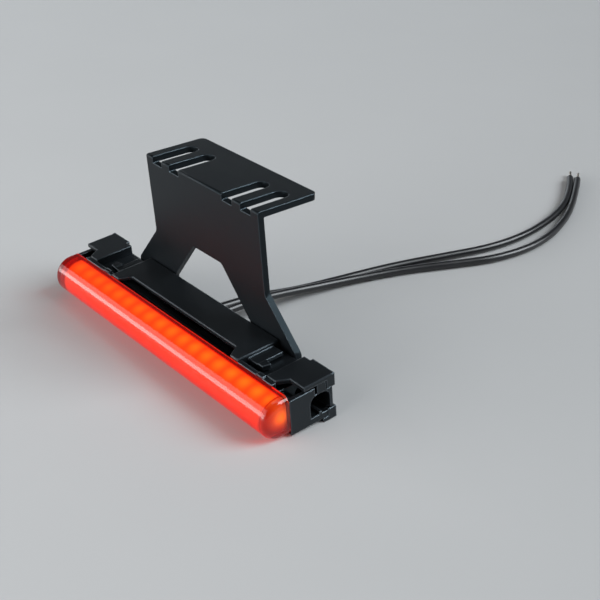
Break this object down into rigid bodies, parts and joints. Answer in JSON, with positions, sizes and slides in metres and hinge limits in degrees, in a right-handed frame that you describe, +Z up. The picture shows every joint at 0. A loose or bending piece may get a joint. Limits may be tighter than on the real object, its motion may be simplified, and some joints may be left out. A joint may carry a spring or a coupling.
{
  "type": "third brake light",
  "caption": "Slim red LED brake light with a half-round lens, black housing and end clips, on a folded steel bracket with open fixing slots and a tail of wires.",
  "frame": {"origin": "centre of the bracket flange's top face, which is held against the vehicle", "axes": "+X along the lamp, +Y to the back where the wires leave, +Z up, out of the flange"},
  "size_m": [0.1284, 0.2381, 0.0602],
  "materials": {
    "bracket_black": "satin black powder coat",
    "screw_zinc": "zinc-plated steel",
    "housing_black": "moulded black ABS, fine texture, semi-gloss edges",
    "lens_red": "clear red acrylic, polished",
    "diffuser_red": "milky red acrylic, lit from inside",
    "reflector_white": "white moulded polycarbonate",
    "board_white": "white solder mask on glass-fibre board",
    "led_yellow": "phosphor and clear resin",
    "chip_black": "black epoxy packages",
    "ceramic_tan": "tan ceramic with tinned ends",
    "solder": "bright tin solder",
    "resin_black": "black potting resin",
    "rubber_black": "black rubber",
    "wire_black": "black PVC insulation, smooth",
    "tinned_copper": "tinned copper strand"
  },
  "bodies": {
    "root": {"mounting_bracket": "bracket_black", "bracket_screws": "screw_zinc", "housing": "housing_black", "carrier_plate": "housing_black", "end_clip_right": "housing_black", "end_clip_left": "housing_black", "lens": "lens_red", "diffuser": "diffuser_red", "reflector_tray": "reflector_white", "circuit_board": "board_white", "led_chips": "led_yellow", "resistors": "chip_black", "current_drivers": "chip_black", "capacitors": "ceramic_tan", "protection_diode": "chip_black", "solder_joints": "solder", "inner_leads": "wire_black", "lead_cores": "tinned_copper", "potting": "resin_black", "wire_grommet": "rubber_black", "wire_left": "wire_black", "wire_right": "wire_black", "wire_core_left": "tinned_copper", "wire_core_right": "tinned_copper"}
  },
  "joints": []
}
